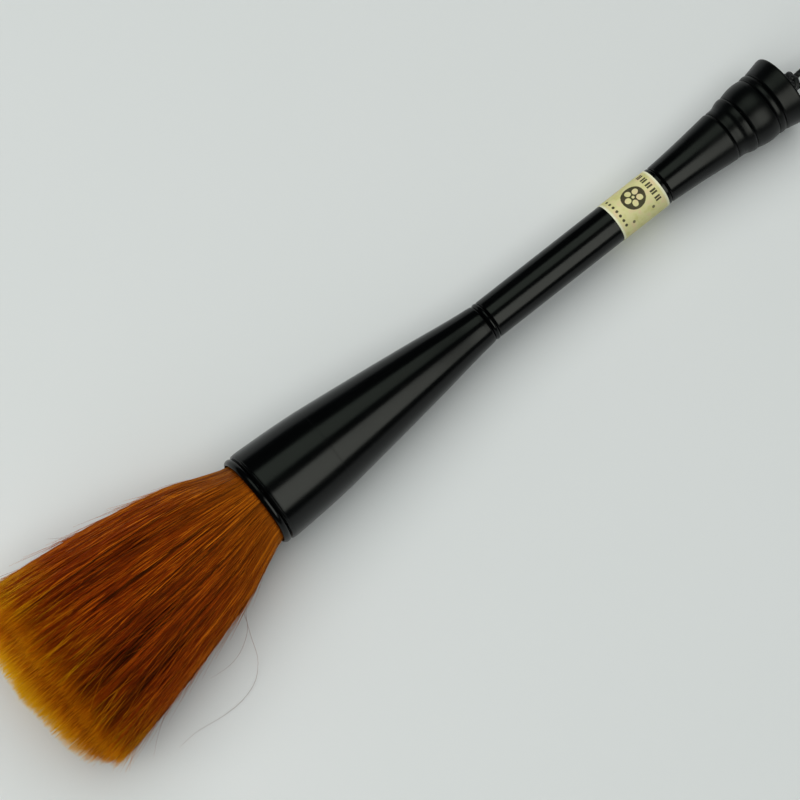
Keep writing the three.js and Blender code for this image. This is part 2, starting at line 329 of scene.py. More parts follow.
def horn_material():
    """Polished black horn: faint streaks along the grain, lathe rings, fine scratches, duller and greyer
    edges, and a tail that handling has dulled."""
    s = Shader("black_horn", IOR=1.54, Specular_IOR_Level=0.28)
    place = s.place()
    grain = s.noise(s.stretched(place, (35, 700, 700)), 1.0, detail=5)
    smudge = s.noise(place, 70, detail=3)
    dust = s.noise(place, 2600, detail=2)
    worn = s.clamped(s.node("NewGeometry").outputs["Pointiness"], 0.53, 0.62)
    body = s.ramp(grain, (0.3, colour(3, 4, 4)), (0.62, colour(5, 6, 6)), (0.8, colour(12, 11, 9)))
    s.set("Base Color", s.mix(s.math("MULTIPLY", worn, 0.7), body, colour(58, 60, 58)))
    patches = s.math("ADD", s.math("MULTIPLY", smudge, 0.7), s.math("MULTIPLY", grain, 0.3))
    handled = s.clamped(s.split(place)[0], HANDLED_FROM, HANDLED_FULLY)
    dulled = s.math("ADD", s.math("MULTIPLY", worn, 0.12), s.math("MULTIPLY", handled, 0.12))
    s.set("Roughness", s.math("ADD", s.between(patches, 0.15, 0.27), dulled))
    rings = s.noise(s.stretched(place, (2600, 6, 6)), 1.0, detail=3)
    scratches = s.noise(s.stretched(place, (60, 3500, 3500)), 1.0, detail=2)
    normal = s.bump(rings, 0.000006)
    normal = s.bump(scratches, 0.000004, normal)
    normal = s.bump(dust, 0.000003, normal)
    s.set("Normal", normal)
    return s.material


def cord_material():
    """Black silky cord with fine threads."""
    s = Shader("black_cord", Roughness=0.42, Sheen_Weight=0.15, Sheen_Roughness=0.4)
    place = s.place()
    fibre = s.noise(place, 5200, detail=4)
    tone = s.noise(place, 900, detail=3)
    s.set("Base Color", s.ramp(tone, (0.3, colour(12, 12, 13)), (0.7, colour(34, 34, 36))))
    s.set("Normal", s.bump(fibre, 0.00006))
    return s.material


def resin_material():
    """Hard amber lacquer over the hair's roots, with clouds and small bubbles."""
    s = Shader("root_resin", Roughness=0.22, IOR=1.55)
    place = s.place()
    cloud = s.noise(place, 260, detail=5, distortion=0.6)
    s.set("Base Color", s.ramp(cloud, (0.25, colour(70, 38, 12)), (0.75, colour(150, 96, 38))))
    s.set("Normal", s.bump(s.noise(place, 1400, detail=3), 0.00005))
    return s.material


def glue_material():
    """Set glue in the socket: cream, with skin wrinkles."""
    s = Shader("socket_glue", Roughness=0.5)
    place = s.place()
    cloud = s.noise(place, 340, detail=4)
    s.set("Base Color", s.ramp(cloud, (0.3, colour(186, 170, 120)), (0.7, colour(216, 204, 162))))
    s.set("Normal", s.bump(s.noise(place, 900, detail=5, distortion=1.2), 0.0001))
    return s.material


def thread_material():
    """Cream silk thread, with a fine twist."""
    s = Shader("binding_thread", Roughness=0.7, Sheen_Weight=0.2)
    place = s.place()
    ply = s.noise(s.stretched(place, (9000, 1500, 1500)), 1.0, detail=3)
    s.set("Base Color", s.ramp(ply, (0.3, colour(178, 162, 126)), (0.7, colour(232, 221, 192))))
    s.set("Normal", s.bump(ply, 0.00006))
    return s.material


def bamboo_material():
    """Split bamboo: dark fibre dots drawn out along the grain."""
    s = Shader("bamboo", Roughness=0.62)
    place = s.place()
    fibre = s.noise(s.stretched(place, (60, 2600, 2600)), 1.0, detail=4)
    s.set("Base Color", s.ramp(
        fibre, (0.32, colour(138, 98, 52)), (0.45, colour(196, 160, 104)), (0.7, colour(214, 182, 126))))
    s.set("Normal", s.bump(fibre, 0.00005))
    return s.material


HORN = horn_material()
CORD = cord_material()

# ------------------------------------------------- hanging cord

# The hanging loop's route on the table behind the tail, end to end.
LOOP_ROUTE = [
    (0.1823, 0.0047, 0.0138),
    (0.1875, 0.0051, 0.0130),
    (0.1930, 0.0057, 0.0104),
    (0.1985, 0.0064, 0.0064),
    (0.2045, 0.0073, 0.0030),
    (0.2115, 0.0083, 0.00145),
    (0.2205, 0.0092, 0.00125),
    (0.2295, 0.0097, 0.00125),
    (0.2385, 0.0091, 0.00125),
    (0.2449, 0.0064, 0.00125),
    (0.2475, 0.0001, 0.00125),
    (0.2449, -0.0062, 0.00125),
    (0.2385, -0.0089, 0.00125),
    (0.2295, -0.0093, 0.00125),
    (0.2205, -0.0081, 0.00125),
    (0.2125, -0.0064, 0.0014),
    (0.2045, -0.0044, 0.0030),
    (0.1985, -0.0030, 0.0062),
    (0.1925, -0.0015, 0.0102),
    (0.1869, -0.0003, 0.0128),
    (0.1819, 0.0006, 0.0136),
]
LOOP_TUCK = [(0.1805, 0.0044, 0.01395), (0.1803, 0.0013, 0.0138)]  # where its two ends lie inside the knot
CORD_RADIUS = 0.00115
CORD_SPAN_STEPS = 22
CORD_POINTS = 520
CORD_SIDES = 30
PLIES = 3
PLY_PITCH = 0.0046  # one whole turn of the plies
PLY_GROOVE = 0.13  # how deep the grooves between the plies are, as a share of the radius


def corded(radius, pitch, depth):
    """The section of a cord of plies that wind round each other."""
    def radius_at(turns, along):
        phase = np.pi * ((turns * PLIES - along / pitch * PLIES) % 1)
        return radius * (1 - depth + depth * np.sin(phase) ** 0.7)
    return radius_at


def hanging_cord():
    route = [LOOP_TUCK[0], *LOOP_ROUTE, LOOP_TUCK[1]]
    path = evenly(curve_through(route, CORD_SPAN_STEPS), CORD_POINTS)
    piece = tube("hanging_cord_braid", path, corded(CORD_RADIUS, PLY_PITCH, PLY_GROOVE), CORD_SIDES, CORD)
    belongs(piece, "black_cord", "hanging_cord")


hanging_cord()

# ---------------------------------------------------- the knot

KNOT_LEADS = 3
KNOT_BIGHTS = 4
KNOT_BALL = 0.00338  # radius of the ball that the cord's centre line lies on
KNOT_RIDE = 0.00042  # how far it rises and dips at each crossing
KNOT_REACH = math.radians(57)  # how far from its equator the cord turns back
KNOT_CORD = 0.00112
KNOT_POINTS = 420
KNOT_SIDES = 24
KNOT_PLY_PITCH = 0.0044
KNOT_PLY_GROOVE = 0.12
KNOT_CORE = 0.0032  # radius of the bundle inside the knot
KNOT_RIDGE = 0.00022  # how far its ridges rise and dip


def button_knot():
    """A Turk's head of three leads and four bights, wound round a small core."""
    t = np.linspace(0, 2 * math.pi, KNOT_POINTS, endpoint=False)
    longitude = KNOT_LEADS * t
    latitude = KNOT_REACH * np.cos(KNOT_BIGHTS * t)
    radius = KNOT_BALL + KNOT_RIDE * np.sin(2 * KNOT_BIGHTS * t)
    local = np.stack([
        radius * np.sin(latitude),
        radius * np.cos(latitude) * np.cos(longitude),
        radius * np.cos(latitude) * np.sin(longitude)], axis=1)
    centre = np.array(middle("cord_knot"))
    path = local @ TURN + centre
    plied = corded(KNOT_CORD, KNOT_PLY_PITCH, KNOT_PLY_GROOVE)
    piece = tube("button_knot", path, plied, KNOT_SIDES, CORD, closed=True)
    return belongs(piece, "black_cord", "cord_knot")


def knot_core():
    """The bundle of cord inside the knot, a ball with the plies' ridges."""
    rows, sides = 40, 64
    centre = np.array(middle("cord_knot"))
    polar = np.linspace(0.02, math.pi - 0.02, rows)[:, None]
    around = np.linspace(0, 2 * math.pi, sides, endpoint=False)[None, :]
    radius = KNOT_CORE + KNOT_RIDGE * np.sin(9 * around + 6 * polar)
    local = np.stack([
        radius * np.cos(polar),
        radius * np.sin(polar) * np.cos(around),
        radius * np.sin(polar) * np.sin(around)], axis=-1).reshape(-1, 3)
    ends = [np.arange(sides)[None, ::-1], (np.arange(sides) + (rows - 1) * sides)[None, :]]
    piece = new_piece("knot_core", local @ TURN + centre, [grid_faces(rows, sides), *ends], CORD)
    face_outwards(piece)
    return belongs(piece, "black_cord")


button_knot()
knot_core()

# ----------------------------------------------- turned handle

TURN_SIDES = 176
CORNER_RADIUS = 0.00022
ARC_STEPS = 5
SOFT_TURN = math.radians(14)  # corners gentler than this are left as they are
BRACE = 0.00012  # extra points this near a corner keep smooth shading on its arc
LONGEST = 0.002


def eased(points, closed):
    """Rounds the corners of an outline with short arcs."""
    made = []
    count = len(points)
    for i, corner in enumerate(points):
        if not closed and i in (0, count - 1):
            made.append(corner)
            continue
        back = points[i - 1] - corner
        ahead = points[(i + 1) % count] - corner
        turn = back.dot(ahead) / np.linalg.norm(back) / np.linalg.norm(ahead)
        if math.pi - math.acos(np.clip(turn, -1, 1)) < SOFT_TURN:
            made.append(corner)
            continue
        cut = min(CORNER_RADIUS, 0.42 * np.linalg.norm(back), 0.42 * np.linalg.norm(ahead))
        start = corner + back / np.linalg.norm(back) * cut
        end = corner + ahead / np.linalg.norm(ahead) * cut
        for t in np.linspace(0, 1, ARC_STEPS + 1):
            made.append((1 - t) ** 2 * start + 2 * t * (1 - t) * corner + t * t * end)
    return np.array(made)


def braced(points, closed):
    """Adds points near the ends of the long stretches of an outline, and along them."""
    made = []
    following = np.roll(points, -1, axis=0)
    for i, (start, end) in enumerate(zip(points, following)):
        made.append(start)
        if not closed and i == len(points) - 1:
            break
        length = np.linalg.norm(end - start)
        if length < 3 * BRACE:
            continue
        inner = max(1, math.ceil((length - 2 * BRACE) / LONGEST))
        for share in np.linspace(BRACE / length, 1 - BRACE / length, inner + 1):
            made.append(start + (end - start) * share)
    return np.array(made)


def turned(name, outline, node):
    """A horn piece turned about the handle's axis, from an outline of (x, radius). An outline that doesn't
    begin and end on the axis closes on itself."""
    points = np.array(outline, float)
    closed = points[0][1] > 0
    points = braced(eased(points, closed), closed)
    rings = points if closed else points[1:-1]
    angle = np.linspace(0, 2 * math.pi, TURN_SIDES, endpoint=False)
    x = np.repeat(rings[:, :1], TURN_SIDES, axis=1)
    radius = rings[:, 1:]
    local = np.stack([x, radius * np.cos(angle), radius * np.sin(angle)], axis=-1).reshape(-1, 3)
    faces = [grid_faces(len(rings), TURN_SIDES, wrap_rows=closed)]
    if not closed:
        first = np.arange(TURN_SIDES)
        second = (first + 1) % TURN_SIDES
        last = (len(rings) - 1) * TURN_SIDES
        start, end = len(local), len(local) + 1
        local = np.vstack([local, (points[0][0], 0, 0), (points[-1][0], 0, 0)])
        faces.append(np.stack([second, first, np.full(TURN_SIDES, start)], axis=-1))
        faces.append(np.stack([last + first, last + second, np.full(TURN_SIDES, end)], axis=-1))
    piece = new_piece(name, to_world(local), faces, HORN)
    face_outwards(piece)
    return belongs(piece, "black_horn", node)


MOUTH_BORE = 0.0169
FRONT_BORE = 0.0053
TAIL_BORE = 0.0049
CORD_BORE = 0.0034
SHAFT_RADIUS = 0.0077
SEAM = 0.0073  # radius at the bottom of the grooves beside the shaft


def handle():
    """The turned sections from the lip of the mouth to the cup at the tail."""
    turned("lip_ring", [
        (0, 0.0173),
        (0.0003, 0.01778),
        (0.0009, 0.01812),
        (0.0015, 0.01822),
        (0.0021, 0.01812),
        (0.0026, 0.01785),
        (0.0029, 0.0175),
        (0.0034, 0.0174),
        (0.0034, MOUTH_BORE),
        (0, MOUTH_BORE)], "mouth_ring")
    flank = curve_through([
        (0.0050, 0.01845),
        (0.0110, 0.01822),
        (0.0280, 0.0172),
        (0.0540, 0.0143),
        (0.0805, 0.0110),
        (0.0980, 0.0086),
        (0.1040, 0.00795)], 12)
    turned("cup_body", [
        (0.0320, 0),
        (0.0320, MOUTH_BORE),
        (0.0032, MOUTH_BORE),
        (0.0032, 0.0178),
        (0.0034, 0.01825),
        (0.0039, 0.01838),
        (0.0041, 0.01818),
        (0.0043, 0.01838),
        *flank,
        (0.1056, 0.00775),
        (0.1062, SEAM),
        (0.1062, FRONT_BORE),
        (0.0800, FRONT_BORE),
        (0.0800, 0)], "ferrule_cup")
    turned("neck_bead", [
        (0.1063, SEAM),
        (0.1067, 0.00758),
        (0.1070, 0.00776),
        (0.10735, 0.00782),
        (0.1077, 0.00776),
        (0.1080, 0.00758),
        (0.1082, SEAM),
        (0.1082, FRONT_BORE),
        (0.1063, FRONT_BORE)], "neck_ring")
    turned("shaft_rod", [
        (0.0820, 0),
        (0.0820, 0.0045),
        (0.0825, 0.0050),
        (0.1083, 0.0050),
        (0.1083, SEAM),
        (0.1088, SHAFT_RADIUS),
        (0.1894, SHAFT_RADIUS),
        (0.1898, SEAM),
        (0.1898, 0.0046),
        (0.2045, 0.0046),
        (0.2050, 0.0041),
        (0.2050, 0)], "shaft")
    sleeve = curve_through([(0.1905, 0.00772), (0.2024, 0.00857), (0.2110, 0.00938), (0.2190, 0.0102)], 10)
    turned("sleeve_cone", [
        (0.1899, SEAM),
        *sleeve,
        (0.2199, 0.00998),
        (0.2199, TAIL_BORE),
        (0.1899, TAIL_BORE)], "tail_sleeve")
    cove = curve_through([(0.2223, 0.0102), (0.2236, 0.01045), (0.2250, 0.01105), (0.2263, 0.01142)], 6)
    turned("collar_cove", [
        (0.2200, 0.00998),
        (0.2206, 0.01017),
        *cove,
        (0.2273, 0.01152),
        (0.2280, 0.0112),
        (0.2280, TAIL_BORE),
        (0.2200, TAIL_BORE)], "tail_collar")
    belly = curve_through([
        (0.2288, 0.01155),
        (0.2310, 0.01212),
        (0.2328, 0.0124),
        (0.2346, 0.0125),
        (0.2362, 0.01243),
        (0.2373, 0.01228)], 6)
    turned("bulb_belly", [
        (0.2281, 0.0112),
        *belly,
        (0.2379, 0.0121),
        (0.2379, TAIL_BORE),
        (0.2281, TAIL_BORE)], "tail_bulb")
    turned("ring_bead", [
        (0.2380, 0.0121),
        (0.2386, 0.0124),
        (0.23925, 0.01252),
        (0.2399, 0.01254),
        (0.2406, 0.0124),
        (0.2410, 0.0121),
        (0.2410, TAIL_BORE),
        (0.2380, TAIL_BORE)], "tail_ring")
    flare = curve_through([(0.2418, 0.0126), (0.2433, 0.01288), (0.2456, 0.0134), (0.2476, 0.01385)], 6)
    dish = curve_through([
        (0.2493, 0.0113),
        (0.2488, 0.0106),
        (0.2474, 0.0084),
        (0.2467, 0.0060),
        (0.2465, 0.0040)], 5)
    turned("cup_flare", [
        (0.2411, 0.0121),
        *flare,
        (0.2486, 0.01395),
        (0.2491, 0.01375),
        (0.2493, 0.0133),
        *dish,
        (0.2465, CORD_BORE),
        (0.2449, CORD_BORE),
        (0.2449, TAIL_BORE),
        (0.2411, TAIL_BORE)], "end_cup")


handle()

# --------------------------------------------------- the label

LABEL_START = 0.1665
LABEL_END = 0.1880
PAPER_INNER = 0.00770
PAPER_OUTER = 0.00783
OVERLAP_START = 0.47  # the paper's end overlaps its beginning underneath, between these shares of a turn
OVERLAP_END = 0.53
LAP_THICKNESS = 0.0001
EDGE_CURL = 0.00003  # how far the paper's edges lift


def paper_label_material():
    """Cream paper with a printed rosette, a column of paired strokes and a dotted row, all plain ornament."""
    s = Shader("label_paper", Roughness=0.72, Specular_IOR_Level=0.35)
    x, y, z = s.split(s.place())
    wobble = s.noise(s.place(), 1500, detail=3)
    wobble = s.math("MULTIPLY", s.math("SUBTRACT", wobble, 0.5), 0.00028)
    along = s.math("ADD", s.math("SUBTRACT", x, LABEL_START), wobble)
    turn = s.math("ARCTAN2", s.math("MULTIPLY", y, -1.0), z)  # 0 on top, rising towards -Y
    around = s.math("ADD", s.math("MULTIPLY", turn, PAPER_OUTER), wobble)
    soft = 0.00012

    def inside(distance, radius):
        return s.clamped(distance, radius + soft, radius - soft)

    def length(a, b):
        return s.math("SQRT", s.math("ADD", s.math("MULTIPLY", a, a), s.math("MULTIPLY", b, b)))

    # The rosette: a dark disc with five cream petals round a cream heart.
    rosette_along, rosette_around = 0.0108, -0.00105
    du = s.math("SUBTRACT", along, rosette_along)
    dv = s.math("SUBTRACT", around, rosette_around)
    reach = length(du, dv)
    petal_step = 2 * math.pi / 5
    angle = s.math("ARCTAN2", dv, du)
    folded = s.math("SUBTRACT", s.math("FLOORED_MODULO", angle, petal_step), petal_step / 2)
    pu = s.math("SUBTRACT", s.math("MULTIPLY", reach, s.math("COSINE", folded)), 0.0024)
    pv = s.math("MULTIPLY", s.math("MULTIPLY", reach, s.math("SINE", folded)), 1.12)
    petal = inside(length(pu, pv), 0.00128)
    heart = inside(reach, 0.00055)
    disc = inside(reach, 0.0047)
    rosette = s.math("SUBTRACT", disc, s.math("MAXIMUM", petal, heart))

    # Strokes in pairs, in a column beside the tail edge.
    stroke_pitch, stroke_half, column_along = 0.0029, 0.0012, 0.0181
    first, last = -0.0083, 0.0062
    cell = s.math("FLOORED_MODULO", s.math("SUBTRACT", around, first), stroke_pitch)
    cell = s.math("SUBTRACT", cell, stroke_pitch / 2)
    pair = s.math("SUBTRACT", s.math("ABSOLUTE", cell), 0.00052)
    thin = s.math("SUBTRACT", s.math("ABSOLUTE", pair), 0.00036)
    run = s.math("SUBTRACT", s.math("ABSOLUTE", s.math("SUBTRACT", along, column_along)), stroke_half)
    stroke = s.clamped(s.math("MAXIMUM", thin, run), soft, -soft)
    within = s.math("MULTIPLY", s.math("GREATER_THAN", around, first), s.math("LESS_THAN", around, last))
    strokes = s.math("MULTIPLY", stroke, within)

    # A dotted row beside the mouth edge, and two lone dots.
    dot_pitch, row_along = 0.00208, 0.0026
    first, last = -0.0078, 0.0067
    du = s.math("SUBTRACT", along, row_along)
    dv = s.math("FLOORED_MODULO", s.math("SUBTRACT", around, first), dot_pitch)
    dv = s.math("SUBTRACT", dv, dot_pitch / 2)
    row = inside(length(du, dv), 0.00056)
    within = s.math("MULTIPLY", s.math("GREATER_THAN", around, first), s.math("LESS_THAN", around, last))
    dots = s.math("MULTIPLY", row, within)
    for u in (0.0058, 0.0150):
        lone = inside(length(s.math("SUBTRACT", along, u), s.math("SUBTRACT", around, 0.0066)), 0.0006)
        dots = s.math("MAXIMUM", dots, s.math("MULTIPLY", lone, 0.8))

    fade = s.between(s.noise(s.place(), 420, detail=4), 0.84, 1.0)
    ink = s.math("MULTIPLY", s.math("MAXIMUM", s.math("MAXIMUM", rosette, strokes), dots), fade)
    stain = s.noise(s.place(), 300, detail=5)
    paper = s.ramp(
        stain, (0.3, colour(214, 211, 146)), (0.5, colour(224, 221, 166)), (0.7, colour(230, 212, 170)))
    half = (LABEL_END - LABEL_START) / 2
    edge = s.math("SUBTRACT", half, s.math("ABSOLUTE", s.math("SUBTRACT", along, half)))
    paper = s.mix(s.clamped(edge, 0.0013, 0.0003), paper, colour(238, 239, 208))
    s.set("Base Color", s.mix(s.math("MULTIPLY", ink, 0.98), paper, colour(22, 17, 8)))
    fibres = s.noise(s.place(), 5200, detail=4)
    s.set("Normal", s.bump(fibres, 0.00002))
    return s.material


def label():
    """The paper band, wound once round the shaft, with its end lapped over its beginning underneath."""
    rows, sides = 60, 240
    turns = np.arange(sides) / sides
    lap = np.clip((turns - OVERLAP_START) / 0.004, 0, 1) * np.clip((OVERLAP_END - turns) / 0.03, 0, 1)
    outer = PAPER_OUTER + LAP_THICKNESS * lap
    angle = 2 * math.pi * turns
    x = np.linspace(LABEL_START, LABEL_END, rows)
    curl = EDGE_CURL * np.exp(-np.minimum(x - x[0], x[-1] - x) / 0.0004)
    radius = np.vstack([outer[None, :] + curl[:, None], np.full((1, sides), PAPER_INNER),
                        np.full((1, sides), PAPER_INNER)])
    stations = np.concatenate([x, [x[-1], x[0]]])[:, None] + 0 * radius
    local = np.stack([stations, radius * -np.sin(angle), radius * np.cos(angle)], axis=-1).reshape(-1, 3)
    piece = new_piece("paper_band", to_world(local), [grid_faces(rows + 2, sides, wrap_rows=True)],
                      paper_label_material())
    face_outwards(piece)
    piece.data.set_sharp_from_angle(angle=math.radians(40))
    return belongs(piece, "label_paper", "label_band")


label()

# ------------------------------------------------------ the hair

TUFT_LENGTH = 0.1080
HAIR_FLOW = [  # from the mouth: distance, reach to +Y, reach to -Y, height above the axis, depth below it
    (-0.0080, 0.0160, 0.0160, 0.0160, 0.0160),
    (0.0000, 0.0164, 0.0164, 0.0163, 0.0163),
    (0.0090, 0.0194, 0.0200, 0.0183, 0.0181),
    (0.0200, 0.0234, 0.0246, 0.0202, 0.0188),
    (0.0440, 0.0285, 0.0316, 0.0234, 0.0192),
    (0.0700, 0.0318, 0.0380, 0.0256, 0.0197),
    (0.0880, 0.0334, 0.0417, 0.0264, 0.0200),
    (0.1120, 0.0350, 0.0445, 0.0268, 0.0204),
]
FLOW = curve_through(HAIR_FLOW, 12)
UV_MAP = "OFBake"
HAIR_FLOOR = 0.00016  # the hairs' middle lines stay this far above the table


def section(x, rho, theta):
    """Points of the hair's cross section: x is the distance from the mouth, rho and theta say where in it."""
    up, down, top, depth = (np.interp(x, FLOW[:, 0], FLOW[:, k]) for k in (1, 2, 3, 4))
    cos, sin = np.cos(theta), np.sin(theta)
    y = rho * cos * np.where(cos > 0, up, down)
    z = rho * np.where(sin > 0, top * sin, -depth * np.abs(sin) ** 0.7)
    floor = -table_below(-x) + HAIR_FLOOR
    return np.stack(np.broadcast_arrays(-x, y, np.maximum(z, floor)), axis=-1)


def tip_of(rho, theta):
    """How far from the mouth a hair ends: the cut end is blunt, with its sides, corners and top rounded."""
    aside = np.abs(rho * np.cos(theta))
    side = 0.0026 * aside ** 1.5 + 0.0125 * aside ** 9
    corner = 0.007 * np.abs(np.sin(2 * theta)) * rho ** 6
    top = 0.009 * np.clip((rho * np.sin(theta) - 0.34) / 0.66, 0, 1) ** 1.8
    return TUFT_LENGTH - side - corner - top


VALLEYS = [  # partings, where strands sink and their tone gets painted shade: direction and half width in degrees, start and end from the mouth, depth
    (118, 4.4, 0.040, 0.100, 0.10),
    (143, 3.8, 0.044, 0.094, 0.09),
    (66, 3.2, 0.034, 0.064, 0.06),
    (88, 3.0, 0.074, 0.100, 0.06),
    (104, 2.6, 0.022, 0.052, 0.04),
    (131, 2.4, 0.062, 0.096, 0.05),
    (48, 2.6, 0.050, 0.088, 0.05),
    (158, 3.0, 0.050, 0.090, 0.05),
]


def valley(theta, x):
    """0 outside the partings, and up to their depth inside them."""
    made = np.zeros(np.broadcast(theta, x).shape)
    for direction, width, start, end, depth in VALLEYS:
        off = (np.degrees(theta) - direction) / width
        run = np.clip((x - start) / 0.012, 0, 1) * np.clip((end - x) / 0.014, 0, 1)
        made += depth * np.exp(-off ** 2) * run
    return made


GILT_FROM = 0.68  # hairs with a tone above this turn golden


def hair_material():
    """Dyed hair: orange at the root, deep red-brown in the middle and ochre at the tip. The surface map's
    first number is the hair's tone, which also holds the painted shade and light given where the hairs are
    made, and its second the way from the root to the tip."""
    s = Shader("outer_hair", Roughness=0.44, Specular_IOR_Level=0.4, Specular_Tint=(1.0, 0.5, 0.12, 1.0))
    tone, along, _ = s.split(s.node("UVMap", uv_map=UV_MAP).outputs[0])
    own = s.joined(s.math("MULTIPLY", tone, 420), s.math("MULTIPLY", along, 9), 0.0)
    streak = s.noise(own, 1.0, detail=2)
    tone = s.math("ADD", tone, s.math("MULTIPLY", s.math("SUBTRACT", streak, 0.5), 0.3))
    dark = s.ramp(
        along, (0.0, colour(70, 30, 2)), (0.3, colour(52, 12, 1)), (0.66, colour(40, 8, 1)),
        (0.86, colour(92, 32, 1)), (0.94, colour(164, 92, 2)), (1.0, colour(226, 164, 4)))
    middle_tone = s.ramp(
        along, (0.0, colour(156, 84, 8)), (0.3, colour(152, 64, 6)), (0.66, colour(148, 54, 5)),
        (0.86, colour(180, 80, 4)), (0.94, colour(220, 134, 4)), (1.0, colour(250, 204, 6)))
    gold = s.ramp(
        along, (0.0, colour(206, 128, 26)), (0.66, colour(206, 112, 22)), (1.0, colour(250, 206, 18)))
    full_body = s.node("MapRange", {"Value": tone, "From Max": GILT_FROM}).outputs["Result"]
    body = s.mix(full_body, dark, middle_tone)
    gilt = s.clamped(tone, GILT_FROM, 1.0)
    s.set("Base Color", s.mix(gilt, body, gold))
    return s.material


def hair_tubes(name, lines, radius, tone, along, material):
    """Three-sided hairs that taper to closed tips. lines is hairs by points by 3, in handle coordinates."""
    hairs, points, _ = lines.shape
    ahead = np.gradient(lines, axis=1)
    ahead /= np.linalg.norm(ahead, axis=2)[..., None]
    across = np.cross(ahead, (0.0, 0.0, 1.0))
    across /= np.linalg.norm(across, axis=2)[..., None]
    third = np.cross(ahead, across)
    angle = 2 * math.pi * (np.arange(3) / 3)
    ring = (across[:, :, None] * np.cos(angle)[None, None, :, None]
            + third[:, :, None] * np.sin(angle)[None, None, :, None])
    vertices = to_world((lines[:, :, None] + ring * radius[:, :, None, None]).reshape(-1, 3))
    vertices[:, 2] = np.maximum(vertices[:, 2], 0.00002)
    base = (np.arange(hairs) * points * 3)[:, None, None]
    row = (np.arange(points - 1) * 3)[None, :, None]
    side = np.arange(3)[None, None, :]
    after = (side + 1) % 3
    quads = np.stack([
        base + row + side,
        base + row + 3 + side,
        base + row + 3 + after,
        base + row + after], axis=-1).reshape(-1, 4)
    root = base[:, :, 0] + np.array([0, 1, 2])
    tip = base[:, :, 0] + (points - 1) * 3 + np.array([2, 1, 0])
    piece = new_piece(name, vertices, [quads, np.vstack([root, tip])], material)
    uv = np.stack([np.repeat(tone.ravel(), 3), np.repeat(along.ravel(), 3)], axis=1)
    corners = np.empty(len(piece.data.loops), np.int32)
    piece.data.loops.foreach_get("vertex_index", corners)
    layer = piece.data.uv_layers.new(name=UV_MAP)
    layer.data.foreach_set("uv", uv[corners].astype(np.float32).ravel())
    return piece


HAIR_SEED = 11
STRANDS = 1250
STRAND_HAIRS = 6
STRAND_SWAY = 0.047  # spread, in radians, of how far strands turn round the head on their way
STRAND_BOW = 0.028  # and of how far they bow aside
RIPPLE_LENGTHS = (0.012, 0.034)  # a strand rises and sinks over these lengths
UNDER_HAIRS = 4600
INNER_HAIRS = 5200
HAIR_POINTS = 23
INNER_POINTS = 7
INNER_START = 0.066  # the inner ends are only made from here on
HAIR_RADIUS = 0.00011
LOCKS = 8  # the head is made in this many pieces
SOCKET_START = -0.006  # where the hairs begin, inside the socket


def strand_hairs(random):
    """Hairs that run together in fine strands. The strands cross one another at small angles, those that turn
    most ride on top, and some sink into the partings. Gives each hair's direction, reach, way and tone. The
    tone holds painted shade where hairs sink into the partings or lie deeper, and painted light and shade
    that follow each strand's rise and dip."""
    strand = np.repeat(np.arange(STRANDS), STRAND_HAIRS)
    count = len(strand)
    direction = random.uniform(0, 2 * math.pi, STRANDS)
    sway = random.normal(0, STRAND_SWAY, STRANDS)
    bow = random.normal(0, STRAND_BOW, STRANDS)
    level = 0.992 - np.abs(random.normal(0, 0.026, STRANDS)) + 0.16 * np.abs(sway)
    sinks = random.uniform(0.15, 1.6, STRANDS)
    shade = random.normal(0, 0.18, STRANDS)
    trim = random.normal(0, 0.0006, STRANDS)
    ripple_length = random.uniform(*RIPPLE_LENGTHS, STRANDS)
    ripple_phase = random.uniform(0, 2 * math.pi, STRANDS)
    offset = random.normal(0, 0.0055, count)
    loose = random.normal(0, 0.009, count)
    lift = random.normal(0, 0.006, count)
    start = (direction[strand] + offset) % (2 * math.pi)
    tip = tip_of(np.full(count, 0.97), start) + trim[strand] - np.abs(random.normal(0, 0.0042, count))
    t = np.linspace(0, 1, HAIR_POINTS)[None, :]
    x = SOCKET_START + (tip[:, None] - SOCKET_START) * t
    angle = (start[:, None] + (sway[strand][:, None] + loose[:, None]) * t ** 1.3
             + (bow[strand] - 0.35 * offset)[:, None] * np.sin(math.pi * t))
    sunk = valley(angle, x) * sinks[strand][:, None]
    reach = level[strand][:, None] * np.interp(t, [0, 0.3, 1], [0, 1, 1])
    reach = reach + np.interp(t, [0, 0.3, 1], [0.97, 0, 0])
    ripple = np.sin(2 * math.pi * x / ripple_length[strand][:, None] + ripple_phase[strand][:, None])
    reach = reach + lift[:, None] * t - sunk + 0.008 * ripple * np.clip(x / 0.02, 0, 1)
    tone = 0.52 + shade[strand] + random.normal(0, 0.11, count)
    # Painted shade: hairs in the partings and hairs lying deeper get darker, and the ripple paints each
    # strand lighter where it rises and darker where it dips.
    tone = tone[:, None] - 5.0 * sunk - 1.6 * (0.99 - reach).clip(0, 0.12) + 0.09 * ripple
    return angle, reach, x, tone


def under_hairs(random):
    """The even layer that lies under the strands and fills between them."""
    start = random.uniform(0, 2 * math.pi, UNDER_HAIRS)
    rho = 0.955 - np.abs(random.normal(0, 0.022, UNDER_HAIRS))
    tip = tip_of(rho, start) - np.abs(random.normal(0, 0.0028, UNDER_HAIRS))
    t = np.linspace(0, 1, HAIR_POINTS)[None, :]
    x = SOCKET_START + (tip[:, None] - SOCKET_START) * t
    angle = start[:, None] + random.normal(0, 0.02, UNDER_HAIRS)[:, None] * t
    sunk = 0.8 * valley(angle, x)
    # Painted shade: the under layer starts darker than the strands because it lies deeper, and gets darker
    # still in the partings.
    tone = 0.32 + random.normal(0, 0.18, UNDER_HAIRS)[:, None] - 4.0 * sunk
    return angle, rho[:, None] - sunk, x, tone


